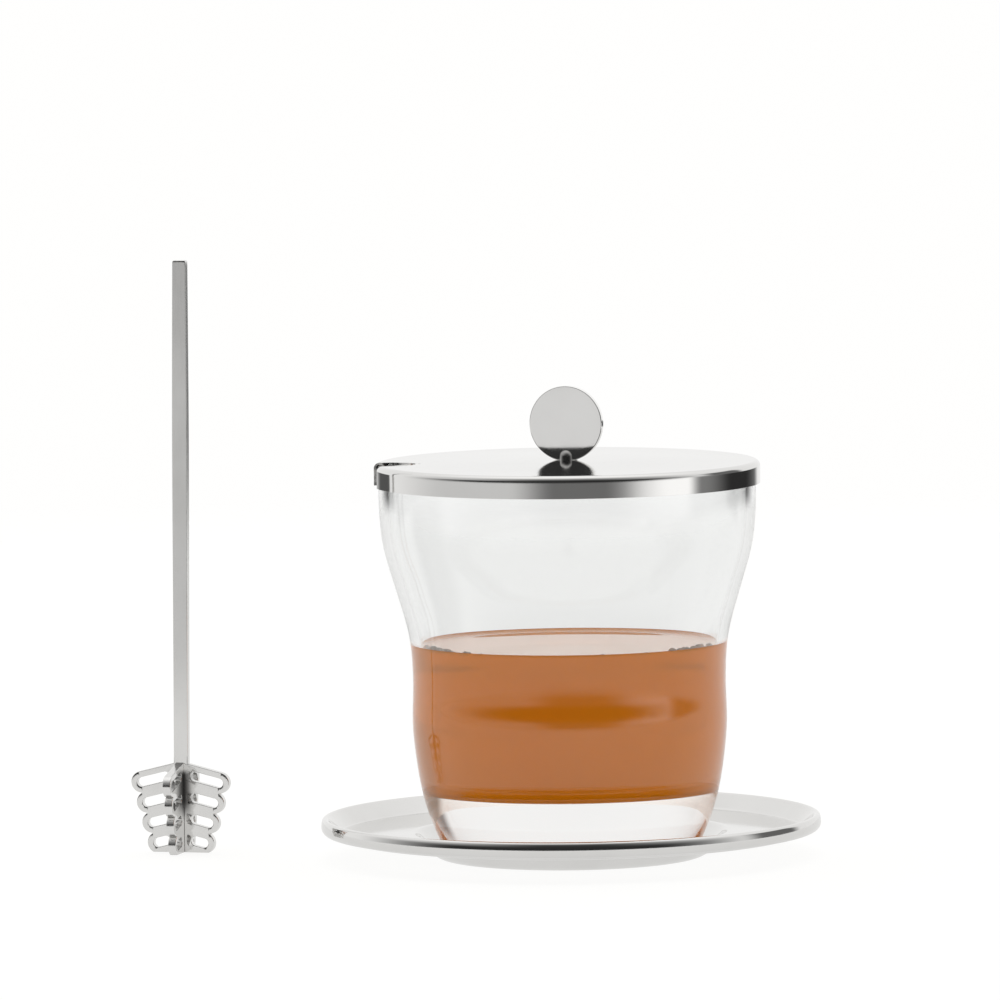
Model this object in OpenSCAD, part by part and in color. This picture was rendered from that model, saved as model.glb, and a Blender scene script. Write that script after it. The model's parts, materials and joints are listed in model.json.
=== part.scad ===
// Covered glass honey pot that stands in a steel saucer, with its lift-off lid and its dipper.
// The origin is on the pot's axis where the saucer meets the table. +Z is up, and -Y is the front.

/* [Saucer] */
// Widest diameter of the rolled rim
saucer_d = 131.5; // [124:0.5:160]
// Thickness of the pressed sheet
saucer_t = 0.9; // [0.6:0.1:1.1]
// Height of the flat ledge's top face above the table
ledge_z = 6.7; // [6:0.1:8]
// Height of the rim's crest above the table
rim_z = 10.9; // [10.4:0.1:13]
// Outer diameter of the curl that the rim's side is rolled into underneath
bead_d = 3.9; // [3.6:0.1:4.4]
// Radius of the rim's slightly bulged side
side_bulge_r = 6.4; // [5:0.1:8]
// Steepness of the well's wall, in degrees above level
well_slope = 45; // [35:1:60]
// Radial room between the jar's base and the flat of the well
well_clearance = 0.2; // [0.1:0.1:1]

/* [Glass jar] */
// Height of the jar from its base to its lip
jar_h = 102.5; // [96:0.5:130]
// Wall thickness of the glass
wall_t = 2.6; // [2:0.1:4]
// Thickness of the solid glass base at its middle
base_t = 17.2; // [8:0.2:22]
// Diameter at the base
base_d = 65.8; // [62:0.2:70]
// Diameter where the rounded heel meets the body
heel_d = 76.8; // [74:0.2:80]
// Height of the heel above the base
heel_z = 14; // [11:0.5:18]
// Widest diameter of the lower body
belly_d = 82.6; // [80:0.2:86]
// Height of the widest place above the base
belly_z = 33; // [28:0.5:38]
// Diameter at the waist
waist_d = 82.2; // [79:0.2:85]
// Height of the waist above the base
waist_z = 46; // [42:0.5:52]
// Diameter where the body starts to spread
spread_d = 83.9; // [82:0.2:87]
// Height where the body starts to spread
spread_z = 58; // [55:0.5:62]
// Diameter halfway up the spreading part
flare_d = 90.6; // [87:0.2:93]
// Height halfway up the spreading part
flare_z = 70; // [66:0.5:74]
// Diameter at the shoulder, under the straight mouth
shoulder_d = 97.6; // [94:0.2:99]
// Height of the shoulder above the base
shoulder_z = 83; // [79:0.5:88]
// Outer diameter of the mouth
mouth_d = 99.3; // [97:0.1:104]
// Level of the honey above the table
honey_z = 56.2; // [30:0.5:85]

/* [Lid] */
// Thickness of the lid's sheet
lid_t = 0.8; // [0.6:0.1:1]
// Radial room between the lid's skirt and the mouth
lid_clearance = 0.3; // [0.3:0.05:0.6]
// Height of the skirt, from its lower edge to the lid's edge face
skirt_h = 5.9; // [4.5:0.1:10]
// Rise of the lid's middle over its edge
dome_h = 0.4; // [0.4:0.1:6]
// Outer radius of the bend between top and skirt
bend_r = 1.5; // [1.1:0.1:2]
// Width of the notch that the dipper's handle leaves through
notch_w = 12; // [8:0.5:16]
// Depth of the notch, inwards from the skirt
notch_depth = 11; // [9:0.5:14]
// Direction of the notch seen from above, in degrees from +X
notch_turn = 184; // [150:1:210]

/* [Knob] */
// Diameter of the upright disc
knob_d = 19.8; // [14:0.2:26]
// Thickness of the disc
knob_t = 1.8; // [1.4:0.1:2.2]
// Turn of the disc seen from above, in degrees
knob_turn = -17; // [-30:1:30]
// Width of the flat that the disc stands on
knob_flat_w = 5; // [4:0.2:6]
// Diameter of the slotted stud that grips the disc
stud_d = 3.9; // [3.2:0.1:4.4]
// Height of the stud above the lid
stud_h = 2.8; // [2.4:0.1:3.6]
// Diameter of the shank below the stud
shank_d = 2.5; // [2:0.1:2.9]
// Length of the shank below the lid's top face
shank_l = 3.9; // [3.5:0.1:6]
// Diameter of the washer under the lid
washer_d = 7; // [6:0.2:10]
// Thickness of the washer
washer_t = 0.5; // [0.3:0.1:0.6]
// Width of the hexagonal nut across its flats
nut_af = 5; // [4.6:0.1:5.6]
// Height of the nut
nut_h = 2; // [1.4:0.1:2]
// Radial room around the shank in the lid, the washer and the nut
bore_clearance = 0.05; // [0.03:0.01:0.1]

/* [Dipper] */
// Height of the dipper when it stands on its head
dipper_h = 157.1; // [130:0.5:180]
// Height of the head
head_h = 23.8; // [22:0.2:25]
// Thickness of both plates
plate_t = 2.1; // [1.5:0.1:2.4]
// Reach of the top lobes from the dipper's axis
top_reach = 13.5; // [12.5:0.1:15]
// Reach of the bottom lobes from the dipper's axis
bottom_reach = 9.2; // [8.5:0.1:11]
// Number of lobes, one over the other, on each side
lobes = 4; // [3:1:5]
// Radius of a lobe's rounded end
lobe_r = 2.85; // [2.75:0.05:3]
// Height of the middle of the top lobes' ends
top_lobe_z = 18.6; // [18:0.1:19]
// Height of the middle of the bottom lobes' ends
bottom_lobe_z = 2.55; // [2.3:0.05:2.8]
// Width of the slot in each lobe
slot_w = 2.5; // [2:0.1:3]
// Distance from the dipper's axis to the near end of each slot
hub_r = 2.9; // [2.4:0.1:3.4]
// Slope of the ribs, in degrees below level
rib_slope = 14; // [8:1:18]
// Width of the handle at the head
neck_w = 3.8; // [3:0.1:4.5]
// Width of the handle where it is widest
grip_w = 4.1; // [3.5:0.1:5]
// Height of the widest place of the handle
grip_z = 108; // [80:1:125]
// Width of the handle at its tip
tip_w = 3.6; // [3:0.05:4.5]
// Lean of the handle to the right of its head, in degrees
handle_lean = 0.65; // [-1:0.05:1]
// Room between the two plates where they cross
lap_clearance = 0.02; // [0:0.01:0.05]
// Distance of the dipper to the left of the pot's axis
dipper_left = 103.1; // [88:0.1:140]
// Distance of the dipper behind the pot's axis
dipper_back = 21; // [-30:1:30]
// Turn of the dipper seen from above, in degrees
dipper_turn = -15.4; // [-45:0.2:45]

/* [Hidden] */
$fn = 96;

// Colours of the real materials
steel = [0.78, 0.78, 0.79];
glass_tint = [0.86, 0.91, 0.9, 0.35];
honey_amber = [0.72, 0.38, 0.08];

// Cut-outs run this far past the faces they cut
past = 1;
// Segments in a quarter turn of a drawn arc
arc_steps = 8;

// Saucer: radii of the bends at the middle of the sheet, and the slope of the rim's inner side
well_bend_r = 4.6;
ledge_bend_r = 2;
rim_slope = 52;
foot_r = base_d / 2 + well_clearance;
// The foot is dead flat from the axis to this far inside its bend
foot_edge = 1;
ledge_mid_z = ledge_z - saucer_t / 2;
// Saucer: the rim turns over a tight crest, comes down in its bulged side and curls in underneath
crest_r = 0.5;
side_r = side_bulge_r - saucer_t / 2;
side_tilt = 15;
curl_r = (bead_d - saucer_t) / 2;
curl_x = saucer_d / 2 - bead_d / 2;
side_x = curl_x + curl_r - side_r;
crest_x = side_x + (side_r - crest_r) * cos(side_tilt);
crest_z = rim_z - saucer_t / 2 - crest_r;
curl_z = crest_z - (side_r - crest_r) * sin(side_tilt);
// The curl ends this far round, well before it meets the rise of the rim again
curl_end_angle = -105;

// Jar: the outer curve runs through these stations, each a radius and a height above the base
jar_z = saucer_t;
lip_z = jar_z + jar_h;
lip_round = wall_t * 0.35;
base_round = 1;
cavity_round = 4;
curve_step = 3;
punt_r = base_d / 2 - 6;
punt_depth = 0.7;
honey_gap = 0.04;
stations = [[base_d / 2, 0], [heel_d / 2, heel_z], [belly_d / 2, belly_z], [waist_d / 2, waist_z],
            [spread_d / 2, spread_z], [flare_d / 2, flare_z], [shoulder_d / 2, shoulder_z],
            [mouth_d / 2, jar_h]];
last = len(stations) - 1;

// Lid: it rests on the jar's lip with its flat edge, inside a skirt that clears the mouth
skirt_inner_r = mouth_d / 2 + lid_clearance;
lid_r = skirt_inner_r + lid_t;
lid_edge_z = lip_z + lid_t;
lid_top_z = lid_edge_z + dome_h;
dome_r = mouth_d / 2 - wall_t - 1.5;
knob_seat_r = washer_d / 2 + 1;
shank_r = shank_d / 2;
shank_bore_r = shank_r + bore_clearance;

// Knob: the disc stands on a flat, so its middle is a little less than its radius above the lid
knob_r = knob_d / 2;
knob_mid_z = lid_top_z + sqrt(knob_r * knob_r - knob_flat_w * knob_flat_w / 4);
washer_z = lid_top_z - lid_t - washer_t;

// Dipper
lobe_pitch = (top_lobe_z - bottom_lobe_z) / (lobes - 1);
reach_step = (top_reach - bottom_reach) / (lobes - 1);
lap_z = head_h / 2;
// Each half of a head runs this far past the axis, into the other half
halves_overlap = 0.5;

// Points of an arc about a centre, from one angle to another
function arc(centre, r, from, to) =
    let (n = max(2, ceil(abs(to - from) / 90 * arc_steps)))
    [for (i = [0 : n]) centre + r * [cos(from + (to - from) * i / n), sin(from + (to - from) * i / n)]];

// Unit normal to the left of a path at one of its points
function left_normal(path, i) =
    let (a = path[max(0, i - 1)], b = path[min(len(path) - 1, i + 1)], d = (b - a) / norm(b - a))
    [-d[1], d[0]];

// Closed outline of a sheet of thickness t whose middle follows the path
function sheet(path, t) = concat(
    [for (i = [0 : len(path) - 1]) path[i] + left_normal(path, i) * t / 2],
    [for (i = [len(path) - 1 : -1 : 0]) path[i] - left_normal(path, i) * t / 2]);

// Slope of the jar's curve at a station, as radius per height
function lean(i) =
    i == last ? 0
    : let (a = stations[max(0, i - 1)], b = stations[i + 1]) (b[0] - a[0]) / (b[1] - a[1]);

// Outer radius of the jar at a height above its base: a smooth cubic between two stations
function jar_r(z, i = 0) =
    z > stations[i + 1][1] && i < last - 1 ? jar_r(z, i + 1)
    : let (a = stations[i], b = stations[i + 1], h = b[1] - a[1], s = (z - a[1]) / h)
      (2 * s * s * s - 3 * s * s + 1) * a[0] + (s * s * s - 2 * s * s + s) * h * lean(i)
      + (3 * s * s - 2 * s * s * s) * b[0] + (s * s * s - s * s) * h * lean(i + 1);

// Points up the jar's outer curve between two heights, moved inwards by an inset
function jar_curve(low, high, inset) =
    let (n = ceil((high - low) / curve_step))
    [for (i = [0 : n]) let (z = low + (high - low) * i / n) [jar_r(z) - inset, z]];

// Outline of what the jar can hold, filled up to a height and drawn smaller by a gap
function cavity(high, gap) =
    let (low = base_t + cavity_round, r = jar_r(low) - wall_t - cavity_round)
    concat([[0, base_t + gap]],
           arc([r, low], cavity_round - gap, -90, 0),
           jar_curve(low + curve_step / 2, high, wall_t + gap),
           [[0, high]]);

// Middle line of the saucer's sheet: foot, well wall, ledge, rise, crest, side and curl
function saucer_path() =
    let (foot_z = saucer_t / 2,
         bends = well_bend_r + ledge_bend_r,
         climb = ledge_mid_z - foot_z - bends * (1 - cos(well_slope)),
         ledge_x = foot_r + bends * sin(well_slope) + climb / tan(well_slope),
         rise = crest_z + crest_r * cos(rim_slope) - ledge_mid_z - ledge_bend_r * (1 - cos(rim_slope)),
         rise_x = crest_x - (crest_r + ledge_bend_r) * sin(rim_slope) - rise / tan(rim_slope))
    concat([[0, foot_z], [foot_r - foot_edge, foot_z]],
           arc([foot_r, foot_z + well_bend_r], well_bend_r, -90, -90 + well_slope),
           arc([ledge_x, ledge_mid_z - ledge_bend_r], ledge_bend_r, 90 + well_slope, 90),
           arc([rise_x, ledge_mid_z + ledge_bend_r], ledge_bend_r, -90, -90 + rim_slope),
           arc([crest_x, crest_z], crest_r, 90 + rim_slope, side_tilt),
           arc([side_x, curl_z], side_r, side_tilt, 0),
           arc([curl_x, curl_z], curl_r, 0, curl_end_angle));

// Middle line of the lid's sheet: knob seat, shallow dome, flat edge, bend and skirt
function lid_path() =
    let (mid_z = lid_edge_z - lid_t / 2, r = bend_r - lid_t / 2, n = 16)
    concat([[0, mid_z + dome_h]],
           [for (i = [0 : n]) [knob_seat_r + (dome_r - knob_seat_r) * i / n,
                               mid_z + dome_h * (1 + cos(180 * i / n)) / 2]],
           arc([lid_r - bend_r, mid_z - r], r, 90, 0),
           [[lid_r - lid_t / 2, lid_edge_z - skirt_h]]);

// Corners of a bar with one round end, which runs from there back up the ribs' slope
function round_bar(end, r, length) = concat(
    arc(end, r, -90 - rib_slope, 90 - rib_slope),
    [for (side = [1, -1]) end + length * [-cos(rib_slope), sin(rib_slope)]
                          + side * r * [sin(rib_slope), cos(rib_slope)]]);

// Corners of a slot with two round ends, from the same end back to the hub
function round_slot(end, r) =
    let (near_x = hub_r + r, near = [near_x, end[1] + (end[0] - near_x) * tan(rib_slope)])
    concat(arc(end, r, -90 - rib_slope, 90 - rib_slope), arc(near, r, 90 - rib_slope, 270 - rib_slope));

// Outline of a dipper plate's head: lobes on both sides of a hub, flat underneath
module head_outline() {
    ends = [for (i = [0 : lobes - 1])
            [bottom_reach + i * reach_step - lobe_r, bottom_lobe_z + i * lobe_pitch]];
    for (side = [0, 1]) mirror([side, 0]) difference() {
        intersection() {
            union() {
                for (end = ends) polygon(round_bar(end, lobe_r, end[0] / cos(rib_slope) + lobe_r));
                square([hub_r, top_lobe_z]);
                square([bottom_reach - lobe_r, lobe_r]);
            }
            translate([-halves_overlap, 0]) square([top_reach + past, head_h]);
        }
        for (end = ends) polygon(round_slot(end, slot_w / 2));
    }
}

// Outline of the handle, which swells a little towards its middle and leans by a hair
module handle_outline() {
    blunt = 0.4;
    right = [[neck_w / 2, head_h - past], [grip_w / 2, grip_z],
             [tip_w / 2, dipper_h - blunt], [tip_w / 2 - blunt, dipper_h]];
    left = [for (i = [len(right) - 1 : -1 : 0]) [-right[i][0], right[i][1]]];
    polygon([for (corner = concat(right, left)) corner + [corner[1] * tan(handle_lean), 0]]);
}

// Stands an outline up as a plate in the XZ plane, centred on Y
module upright(t) {
    rotate([90, 0, 0]) translate([0, 0, -t / 2]) linear_extrude(t) children();
}

// Puts a piece of the dipper where it stands beside the pot
module at_dipper() {
    translate([-dipper_left, dipper_back, 0]) rotate(dipper_turn) children();
}

module saucer() {
    color(steel) rotate_extrude() polygon(sheet(saucer_path(), saucer_t));
}

module glass_jar() {
    curve = jar_curve(base_round, jar_h - lip_round, 0);
    mouth_r = mouth_d / 2;
    outside = concat(
        [[0, punt_depth], [punt_r * 0.9, punt_depth], [punt_r, 0]],
        arc([jar_r(base_round) - base_round, base_round], base_round, -90, -10),
        curve,
        arc([mouth_r - lip_round, jar_h - lip_round], lip_round, 10, 90),
        arc([mouth_r - wall_t + lip_round, jar_h - lip_round], lip_round, 90, 170));
    inside = cavity(jar_h - lip_round, 0);
    color(glass_tint) translate([0, 0, jar_z]) rotate_extrude()
        polygon(concat(outside, [for (i = [len(inside) - 2 : -1 : 0]) inside[i]]));
}

module honey_fill() {
    color(honey_amber) translate([0, 0, jar_z]) rotate_extrude()
        polygon(cavity(honey_z - jar_z, honey_gap));
}

module lid_cover() {
    slot_l = notch_depth - notch_w / 2;
    color(steel) difference() {
        rotate_extrude() polygon(sheet(lid_path(), lid_t));
        translate([0, 0, lid_top_z - lid_t - past]) cylinder(r = shank_bore_r, h = lid_t + 2 * past);
        rotate(notch_turn) translate([lid_r - slot_l, 0, lid_edge_z - skirt_h - past]) {
            cylinder(d = notch_w, h = skirt_h + dome_h + 2 * past);
            translate([0, -notch_w / 2, 0]) cube([slot_l + past, notch_w, skirt_h + dome_h + 2 * past]);
        }
    }
}

module knob_disc() {
    color(steel) rotate(knob_turn) difference() {
        translate([0, 0, knob_mid_z]) rotate([90, 0, 0])
            cylinder(r = knob_r, h = knob_t, center = true);
        translate([-knob_r, -knob_t, lid_top_z - knob_r]) cube([knob_d, 2 * knob_t, knob_r]);
    }
}

module knob_stud() {
    color(steel) rotate(knob_turn) {
        difference() {
            translate([0, 0, lid_top_z]) union() {
                cylinder(d = stud_d, h = stud_h - stud_d / 2);
                translate([0, 0, stud_h - stud_d / 2]) intersection() {
                    sphere(d = stud_d);
                    translate([-stud_d, -stud_d, 0]) cube([2 * stud_d, 2 * stud_d, stud_d]);
                }
            }
            translate([-stud_d, -knob_t / 2, lid_top_z]) cube([2 * stud_d, knob_t, stud_h + past]);
        }
        translate([0, 0, lid_top_z - shank_l]) cylinder(r = shank_r, h = shank_l);
    }
}

module knob_washer() {
    color(steel) translate([0, 0, washer_z]) difference() {
        cylinder(d = washer_d, h = washer_t);
        translate([0, 0, -past]) cylinder(r = shank_bore_r, h = washer_t + 2 * past);
    }
}

module knob_nut() {
    color(steel) translate([0, 0, washer_z - nut_h]) difference() {
        cylinder(d = nut_af / cos(30), h = nut_h, $fn = 6);
        translate([0, 0, -past]) cylinder(r = shank_bore_r, h = nut_h + 2 * past);
    }
}

module dipper_blade() {
    color(steel) at_dipper() difference() {
        upright(plate_t) {
            head_outline();
            handle_outline();
        }
        cross_cut(-past, lap_z + lap_clearance);
    }
}

module dipper_cross() {
    color(steel) at_dipper() rotate(90) difference() {
        upright(plate_t) head_outline();
        cross_cut(lap_z, head_h + past);
    }
}

// Slot half the head's height that lets one plate slide over the other
module cross_cut(low, high) {
    w = plate_t + 2 * lap_clearance;
    translate([-w / 2, -plate_t, low]) cube([w, 2 * plate_t, high - low]);
}

saucer();
glass_jar();
honey_fill();
lid_cover();
knob_disc();
knob_stud();
knob_washer();
knob_nut();
dipper_blade();
dipper_cross();
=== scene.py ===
# %% [markdown]
# # A covered honey pot, its saucer and its dipper
#
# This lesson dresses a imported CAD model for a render. The pot is clear glass with a thick
# base, and it stands in a polished steel saucer. A thin steel lid lies loose on its lip, with
# a notch for the dipper's handle and an upright disc for a knob. The dipper is two steel
# plates that cross in its head. Nearly everything here mirrors or bends light, so half of the
# work is the shapes, and the other half is the room that they reflect.

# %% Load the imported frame
import json
import bpy
import numpy as np
from mathutils import Matrix, Vector
from mathutils.geometry import delaunay_2d_cdt

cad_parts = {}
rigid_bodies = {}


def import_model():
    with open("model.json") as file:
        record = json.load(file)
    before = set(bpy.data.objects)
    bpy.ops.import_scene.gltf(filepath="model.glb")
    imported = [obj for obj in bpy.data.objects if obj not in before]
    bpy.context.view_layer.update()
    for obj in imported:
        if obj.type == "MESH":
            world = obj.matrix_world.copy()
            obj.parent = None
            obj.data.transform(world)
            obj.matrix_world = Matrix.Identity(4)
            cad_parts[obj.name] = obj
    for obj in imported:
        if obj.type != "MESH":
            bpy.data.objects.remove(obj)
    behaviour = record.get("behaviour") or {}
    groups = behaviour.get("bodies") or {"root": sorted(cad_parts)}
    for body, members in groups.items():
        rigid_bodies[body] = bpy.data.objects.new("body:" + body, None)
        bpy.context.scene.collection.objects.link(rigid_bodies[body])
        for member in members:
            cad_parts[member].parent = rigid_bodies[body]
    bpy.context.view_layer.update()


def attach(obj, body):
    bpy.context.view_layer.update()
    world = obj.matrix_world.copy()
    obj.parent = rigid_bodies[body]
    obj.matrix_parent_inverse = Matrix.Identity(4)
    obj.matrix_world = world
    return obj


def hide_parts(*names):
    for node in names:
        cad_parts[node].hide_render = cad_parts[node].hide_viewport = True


for leftover in list(bpy.data.objects):
    bpy.data.objects.remove(leftover)
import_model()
mm = 0.001

# %% [markdown]
# ## The camera
#
# The photograph is a catalogue picture: a long lens about three metres away, a few degrees
# above the table. A long lens keeps upright edges parallel and flattens the ellipses of the
# lid and the saucer. The picture also leans by less than a degree, so the camera rolls a bit.
# Setting the camera first means that every later piece can be judged in the real frame.

# %% Place the camera
camera_distance, camera_height = 2.8235, 0.3217
pitch, roll = np.radians(4.606), np.radians(0.721)
focal_px, picture_px, sensor_mm, side_step = 10790.2, 1000, 36, -0.01765

ahead = Vector((0, np.cos(pitch), -np.sin(pitch)))
level_right, level_up = Vector((1, 0, 0)), Vector((0, np.sin(pitch), np.cos(pitch)))
right = np.cos(roll) * level_right - np.sin(roll) * level_up
up = np.sin(roll) * level_right + np.cos(roll) * level_up

camera_data = bpy.data.cameras.new("camera")
camera_data.sensor_width = sensor_mm
camera_data.lens = focal_px * sensor_mm / picture_px
camera_data.clip_start, camera_data.clip_end = 0.1, 60
camera = bpy.data.objects.new("camera", camera_data)
bpy.context.scene.collection.objects.link(camera)
stand = Matrix.Translation((side_step, -camera_distance, camera_height))
camera.matrix_world = stand @ Matrix([right, up, -ahead]).transposed().to_4x4()
bpy.context.scene.camera = camera
print("lens %.0f mm" % camera_data.lens)

# %% [markdown]
# ## Meshes from arrays
#
# A mesh is two arrays: where the points are, and which points each face joins. Blender has
# operators for lathes and extrusions, but they work on one selection at a time. Here each
# form is worked out as a whole array by a formula, and handed over in one go. A closed form
# also has a signed volume, which is negative when its faces point inwards, so one sum is
# enough to turn a shape the right way round.

# %% Turn arrays into a mesh object
def signed_volume(points, quads, tris):
    """Sum over triangles of the box product of their corners, over 6: positive when faces
    point outwards."""
    t = np.concatenate([quads[:, [0, 1, 2]], quads[:, [0, 2, 3]], tris])
    a, b, c = points[t[:, 0]], points[t[:, 1]], points[t[:, 2]]
    return np.einsum("ij,ij->i", a, np.cross(b, c)).sum() / 6


def make_piece(name, points, quads, tris, body, slot, replaced=(), sharp=35):
    """A closed mesh from millimetres: faces are turned outwards, and edges that are sharper
    than the given angle stay sharp while all the rest is smooth."""
    points = np.asarray(points, float) * mm
    quads = np.asarray(quads, int).reshape(-1, 4)
    tris = np.asarray(tris, int).reshape(-1, 3)
    volume = signed_volume(points, quads, tris)
    if volume < 0:
        quads, tris = quads[:, ::-1], tris[:, ::-1]
    mesh = bpy.data.meshes.new(name)
    mesh.from_pydata(points.tolist(), [], quads.tolist() + tris.tolist())
    mesh.validate()
    mesh.shade_smooth()
    mesh.set_sharp_from_angle(angle=np.radians(sharp))
    piece = bpy.data.objects.new(name, mesh)
    bpy.context.scene.collection.objects.link(piece)
    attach(piece, body)
    if replaced:
        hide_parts(*replaced)
    print("%s: %d triangles, %.2f cm3" % (name, 2 * len(quads) + len(tris), abs(volume) * 1e6))
    return piece


def grid_quads(rows, columns, first=0, close_rows=False, close_columns=False):
    """Quads of a grid of points numbered row by row, with either direction closed or open."""
    i = np.arange(rows if close_rows else rows - 1)[:, None]
    j = np.arange(columns if close_columns else columns - 1)[None, :]
    down, along = (i + 1) % rows, (j + 1) % columns
    corners = [i * columns + j, i * columns + along, down * columns + along, down * columns + j]
    return first + np.stack(np.broadcast_arrays(*corners), -1).reshape(-1, 4)


def pole_fans(rings, around):
    """Two fans of triangles that close a stack of rings at its poles, the two points that come
    after the last ring: the first pole joins the first ring, the second pole the last ring."""
    j = np.arange(around)
    after, last, pole = (j + 1) % around, (rings - 1) * around, rings * around
    return np.concatenate([np.stack([pole + 0 * j, after, j], -1),
                           np.stack([pole + 1 + 0 * j, last + j, last + after], -1)])

# %% [markdown]
# ## Lathe work
#
# The saucer, the jar and the honey are turned forms: one profile, carried round the axis.
# Blender's Screw modifier or the Spin tool would do, but both need care where the profile
# meets the axis. The function below makes one ring for each profile point, and a single pole
# point at each end, joined by a fan of triangles, so nothing is left open in the middle.

# %% Carry a profile round the axis
def arc(centre, r, start, end, steps):
    """Points on a circle: centre + r (cos a, sin a), with a in degrees from start to end."""
    a = np.radians(np.linspace(start, end, steps + 1))
    return np.asarray(centre, float) + r * np.stack([np.cos(a), np.sin(a)], -1)


def turned(profile, segments=192):
    """Rings (r cos a, r sin a, z) for every profile point between its two ends on the axis,
    which become poles. Returns points, quads and triangles."""
    profile = np.asarray(profile, float)
    a = np.linspace(0, 2 * np.pi, segments, endpoint=False)
    r, z = profile[1:-1, 0][:, None], profile[1:-1, 1][:, None]
    rings = np.stack([r * np.cos(a), r * np.sin(a), z + 0 * a], -1).reshape(-1, 3)
    poles = [[0, 0, profile[0, 1]], [0, 0, profile[-1, 1]]]
    n = len(profile) - 2
    return (np.concatenate([rings, poles]), grid_quads(n, segments, close_columns=True),
            pole_fans(n, segments))


def sheet(path, thickness):
    """The two sides of a sheet whose middle follows a path: each point moves half the
    thickness along the path's left and right normal."""
    path = np.asarray(path, float)
    run = np.gradient(path, axis=0)
    run /= np.linalg.norm(run, axis=1, keepdims=True)
    left = np.stack([-run[:, 1], run[:, 0]], -1)
    return path + left * thickness / 2, path - left * thickness / 2

# %% [markdown]
# ## The saucer
#
# A saucer like this is pressed from one disc of steel. It has a flat foot, a well wall, a
# level ledge, and a rim that is rolled over: a tight crest, a side that bulges by a hair, and
# a curl underneath. Solidify on a single surface would give the sheet its thickness, but the
# profile is simple enough to be offset in two dimensions. The path is the CAD model's own,
# with more points on its bends, because a mirror shows every facet that a matt surface would
# hide.

# %% Press the saucer
saucer_t, foot_r, foot_z = 0.9, 33.1, 0.45
well_bend_r, ledge_bend_r, ledge_mid_z = 4.6, 2.0, 6.25
rim_z, rim_slope, crest_r = 10.9, 52, 0.5
side_r, side_tilt, curl_r, curl_x, curl_end = 5.95, 15, 1.5, 63.8, -105
well_slope, straight_steps = 45, 24


def saucer_path():
    """Foot, 45 degree well wall, ledge, steeper rise, and the rim's three arcs, all tangent."""
    bends = well_bend_r + ledge_bend_r
    half, steep = np.sin(np.radians(well_slope)), np.radians(rim_slope)
    climb = ledge_mid_z - foot_z - bends * (1 - half)
    ledge_x = foot_r + bends * half + climb
    side_x, tilt = curl_x + curl_r - side_r, np.radians(side_tilt)
    crest_x = side_x + (side_r - crest_r) * np.cos(tilt)
    crest_z = rim_z - saucer_t / 2 - crest_r
    curl_z = crest_z - (side_r - crest_r) * np.sin(tilt)
    rise = crest_z + crest_r * np.cos(steep) - ledge_mid_z - ledge_bend_r * (1 - np.cos(steep))
    rise_x = crest_x - (crest_r + ledge_bend_r) * np.sin(steep) - rise / np.tan(steep)
    flat = np.stack([np.linspace(0, foot_r, straight_steps), np.full(straight_steps, foot_z)], -1)
    well = arc((foot_r, foot_z + well_bend_r), well_bend_r, -90, -90 + well_slope, 16)
    shoulder = arc((ledge_x, ledge_mid_z - ledge_bend_r), ledge_bend_r, 90 + well_slope, 90, 12)
    ledge = np.stack([np.linspace(ledge_x, rise_x, straight_steps),
                      np.full(straight_steps, ledge_mid_z)], -1)
    rise_bend = arc((rise_x, ledge_mid_z + ledge_bend_r), ledge_bend_r, -90, -90 + rim_slope, 12)
    crest = arc((crest_x, crest_z), crest_r, 90 + rim_slope, side_tilt, 20)
    side = arc((side_x, curl_z), side_r, side_tilt, 0, 14)
    curl = arc((curl_x, curl_z), curl_r, 0, curl_end, 24)
    return np.concatenate([flat[:-1], well, shoulder, ledge[1:-1], rise_bend, crest,
                           side[1:], curl[1:]])


above, below = sheet(saucer_path(), saucer_t)
saucer = make_piece("saucer_body", *turned(np.concatenate([above, below[::-1]])),
                    "saucer", "saucer_steel", ["saucer"], sharp=50)

# %% [markdown]
# ## The glass jar
#
# The jar narrows from its mouth to a waist, swells a little, and ends in a heel around a
# solid base as thick as a finger. That base is what makes the picture: it works as a lens.
# So the jar is modelled as real glass, with an outside and an inside, and not as one skin
# with a thickness painted on. The curve runs through the same stations as the CAD model,
# with a cubic between two of them, and is then smoothed a little, so that no reflection
# breaks where two cubics meet.

# %% Blow the jar
jar_z, jar_h, wall_t, base_t = 0.9, 102.5, 2.6, 17.2
stations = np.array([[32.9, 0], [38.4, 14], [41.3, 33], [41.1, 46], [41.95, 58],
                     [45.3, 70], [48.8, 83], [49.65, 102.5]])


def jar_radius(z, samples=1022, bell_w=2.5, reach=60):
    """Hermite cubic between stations, with each slope taken from the two neighbours and none
    at the mouth, then a running mean over a bell curve 2.5 mm wide."""
    fine = np.linspace(0, jar_h, samples)
    r_at, z_at = stations.T
    n = len(r_at)
    after, before = np.r_[1, 2:n], np.r_[0, 0:n - 2]
    lean = np.append((r_at[after] - r_at[before]) / (z_at[after] - z_at[before]), 0)
    i = np.clip(np.searchsorted(z_at, fine) - 1, 0, n - 2)
    h = z_at[i + 1] - z_at[i]
    s = (fine - z_at[i]) / h
    r = ((2 * s**3 - 3 * s**2 + 1) * r_at[i] + (s**3 - 2 * s**2 + s) * h * lean[i]
         + (3 * s**2 - 2 * s**3) * r_at[i + 1] + (s**3 - s**2) * h * lean[i + 1])
    bell = np.exp(-0.5 * (np.arange(-reach, reach + 1) * fine[1] / bell_w) ** 2)
    padded = np.concatenate([2 * r[0] - r[reach:0:-1], r, 2 * r[-1] - r[-2:-2 - reach:-1]])
    return np.interp(z, fine, np.convolve(padded, bell / bell.sum(), "valid"))


def wall_curve(low, high, inset, steps):
    """Points up the jar's curve between two heights, moved inwards by an inset."""
    z = np.linspace(low, high, steps)
    return np.stack([jar_radius(z) - inset, z], -1)


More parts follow.
